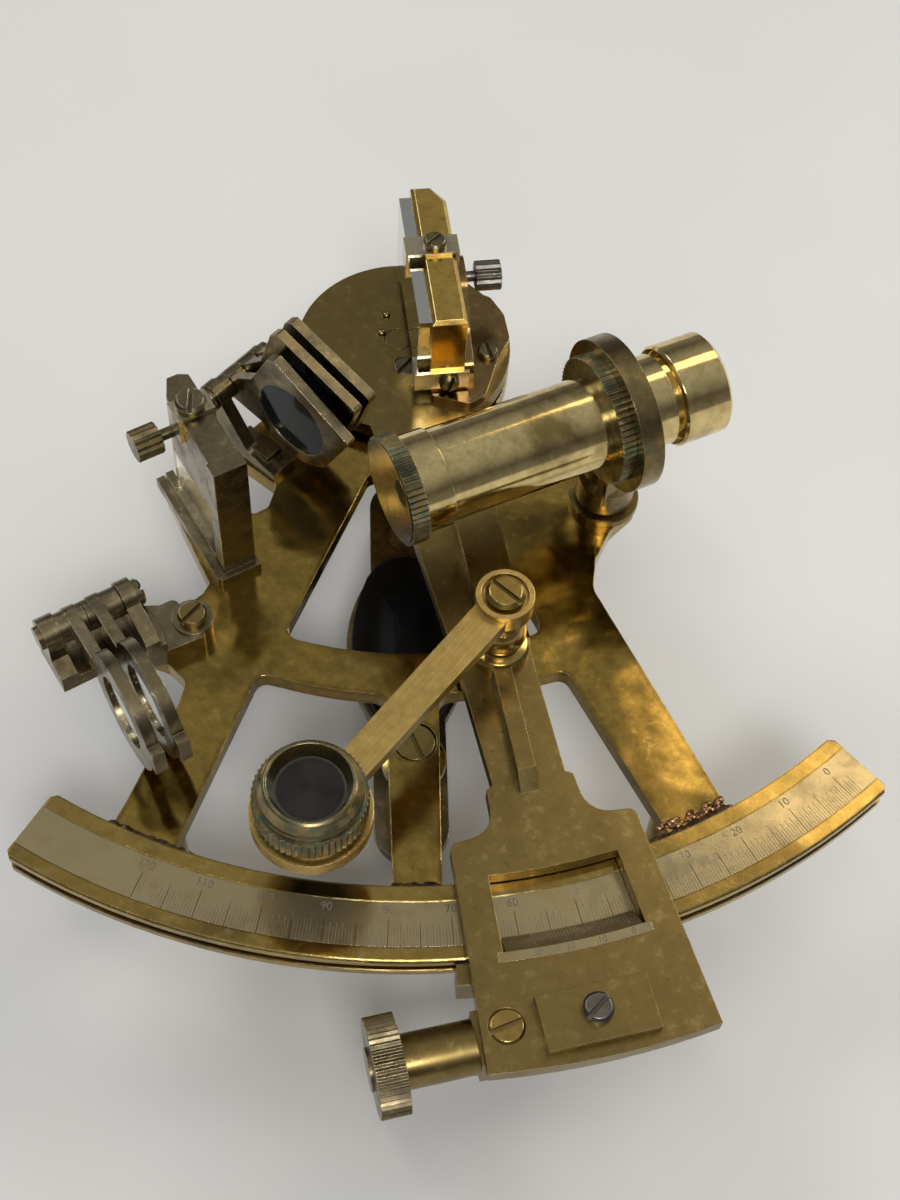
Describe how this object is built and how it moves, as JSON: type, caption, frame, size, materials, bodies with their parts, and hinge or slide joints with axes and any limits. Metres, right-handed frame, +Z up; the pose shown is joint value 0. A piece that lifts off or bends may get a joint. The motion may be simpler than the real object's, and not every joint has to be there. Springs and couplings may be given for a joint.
{
  "type": "sextant",
  "caption": "Small brass sextant: graduated arc with a swinging index arm, vernier and magnifier, two mirrors, hinged shades and a telescope on a turning post.",
  "frame": {"origin": "under the middle of the whole sextant, on the table", "axes": "+X to the right and +Y from the arc to the head as seen from above, +Z up from the legs"},
  "size_m": [0.1274, 0.148, 0.0621],
  "materials": {
    "aged_brass": "aged, olive brown, brightened where it is handled",
    "golden_brass": "aged, golden",
    "pale_brass": "polished, slightly tarnished",
    "bronze": "dark patina with worn bright edges",
    "silver": "dull silver with a warm tarnish",
    "grip": "near black, satin",
    "dark_glass": "dark sun glass",
    "clear_glass": "clear, polished",
    "mirror": "silvered glass"
  },
  "bodies": {
    "frame": {"frame_plate": "aged_brass", "arc": "golden_brass", "scale_strip": "silver", "legs": "aged_brass", "handle_tang": "bronze", "grip_scales": "grip", "handle_pillars": "golden_brass", "frame_screws": "aged_brass", "pivot_bearing": "aged_brass", "telescope_foot": "aged_brass", "horizon_bracket": "bronze", "horizon_housing": "bronze", "horizon_glass": "clear_glass", "horizon_clip": "silver", "horizon_clip_screw": "bronze", "index_shade_bracket": "bronze", "index_shade_pin": "bronze", "horizon_shade_bracket": "bronze", "horizon_shade_pin": "bronze"},
    "arm": {"index_arm": "aged_brass", "pivot_shaft": "golden_brass", "vernier": "silver", "index_mirror_bracket": "bronze", "index_mirror_housing": "bronze", "index_mirror_glass": "mirror", "index_mirror_clips": "silver", "index_mirror_screws": "bronze", "magnifier_post": "golden_brass", "magnifier_pivot_screw": "aged_brass", "tangent_bearing": "aged_brass", "tangent_bearing_screw": "aged_brass"},
    "index_thumb_screw": {"index_adjust_screw": "bronze"},
    "horizon_thumb_screw": {"horizon_adjust_screw": "bronze"},
    "telescope": {"telescope_collar": "aged_brass", "telescope_tube": "pale_brass", "telescope_flange": "bronze", "objective_cap": "bronze", "objective_lens": "clear_glass"},
    "eyepiece": {"draw_tube": "pale_brass", "eyecap": "pale_brass", "eye_lens": "clear_glass"},
    "magnifier_swing_arm": {"magnifier_arm": "golden_brass"},
    "magnifier": {"magnifier_cell": "bronze", "magnifier_lens": "clear_glass"},
    "tangent_knob": {"tangent_screw": "bronze"},
    "clamp": {"clamp_block": "aged_brass", "slide_plate": "golden_brass", "slide_screw": "aged_brass"},
    "clamp_knob": {"clamp_screw": "bronze"},
    "index_shade_front": {"index_shade_1": "bronze", "index_shade_glass_1": "dark_glass"},
    "index_shade_middle": {"index_shade_2": "bronze", "index_shade_glass_2": "dark_glass"},
    "index_shade_back": {"index_shade_3": "bronze", "index_shade_glass_3": "dark_glass"},
    "horizon_shade_outer": {"horizon_shade_1": "bronze", "horizon_shade_glass_1": "clear_glass"},
    "horizon_shade_inner": {"horizon_shade_2": "bronze", "horizon_shade_glass_2": "clear_glass"}
  },
  "joints": [
    {"name": "index_arm_swing", "type": "hinge", "parent": "frame", "child": "arm", "pos_m": [-0.00578, 0.05449, 0.0284], "axis": [0, 0, 1], "range_deg": [-12.5, 20]},
    {"name": "index_thumb_turn", "type": "hinge", "parent": "arm", "child": "index_thumb_screw", "pos_m": [0.00423, 0.06039, 0.0415], "axis": [0.9952, 0.0976, 0], "range_deg": [-180, 180]},
    {"name": "horizon_thumb_turn", "type": "hinge", "parent": "frame", "child": "horizon_thumb_screw", "pos_m": [-0.04338, 0.02315, 0.047], "axis": [-0.8788, -0.4772, 0], "range_deg": [-180, 180]},
    {"name": "telescope_swing", "type": "hinge", "parent": "frame", "child": "telescope", "pos_m": [0.02612, 0.02549, 0.0282], "axis": [0, 0, 1], "range_deg": [-15, 3]},
    {"name": "draw_slide", "type": "slide", "parent": "telescope", "child": "eyepiece", "axis": [0.9205, 0.3907, 0], "range_m": [-0.0006, 0.008]},
    {"name": "magnifier_swing", "type": "hinge", "parent": "arm", "child": "magnifier_swing_arm", "pos_m": [0.00726, -0.00511, 0.0432], "axis": [0, 0, 1], "range_deg": [-15, 95]},
    {"name": "magnifier_focus", "type": "slide", "parent": "magnifier_swing_arm", "child": "magnifier", "axis": [0, 0, 1], "range_m": [0, 0.003]},
    {"name": "tangent_screw_turn", "type": "hinge", "parent": "arm", "child": "tangent_knob", "pos_m": [0.01754, -0.06118, 0.025], "axis": [0.9803, 0.1977, 0], "range_deg": [-360, 1080]},
    {"name": "fine_slide", "type": "slide", "parent": "arm", "child": "clamp", "axis": [0.9803, 0.1977, 0], "range_m": [-0.0008, 0.0024]},
    {"name": "clamp_screw_turn", "type": "hinge", "parent": "clamp", "child": "clamp_knob", "pos_m": [0.02212, -0.05557, 0.016], "axis": [0, 0, 1], "range_deg": [-180, 180]},
    {"name": "index_shade_front_hinge", "type": "hinge", "parent": "frame", "child": "index_shade_front", "pos_m": [-0.03284, 0.04262, 0.0374], "axis": [0.6738, 0.7389, 0], "range_deg": [-150, 0]},
    {"name": "index_shade_middle_hinge", "type": "hinge", "parent": "frame", "child": "index_shade_middle", "pos_m": [-0.03284, 0.04262, 0.0374], "axis": [0.6738, 0.7389, 0], "range_deg": [-150, 8]},
    {"name": "index_shade_back_hinge", "type": "hinge", "parent": "frame", "child": "index_shade_back", "pos_m": [-0.03284, 0.04262, 0.0374], "axis": [0.6738, 0.7389, 0], "range_deg": [-150, 8]},
    {"name": "horizon_shade_outer_hinge", "type": "hinge", "parent": "frame", "child": "horizon_shade_outer", "pos_m": [-0.05438, -0.00131, 0.035], "axis": [0.8678, 0.497, 0], "range_deg": [-150, 0]},
    {"name": "horizon_shade_inner_hinge", "type": "hinge", "parent": "frame", "child": "horizon_shade_inner", "pos_m": [-0.05438, -0.00131, 0.035], "axis": [0.8678, 0.497, 0], "range_deg": [-150, 0]}
  ],
  "couplings": [
    {"joint": "fine_slide", "follows": "tangent_screw_turn", "m_per_rad": 0.00012732}
  ]
}
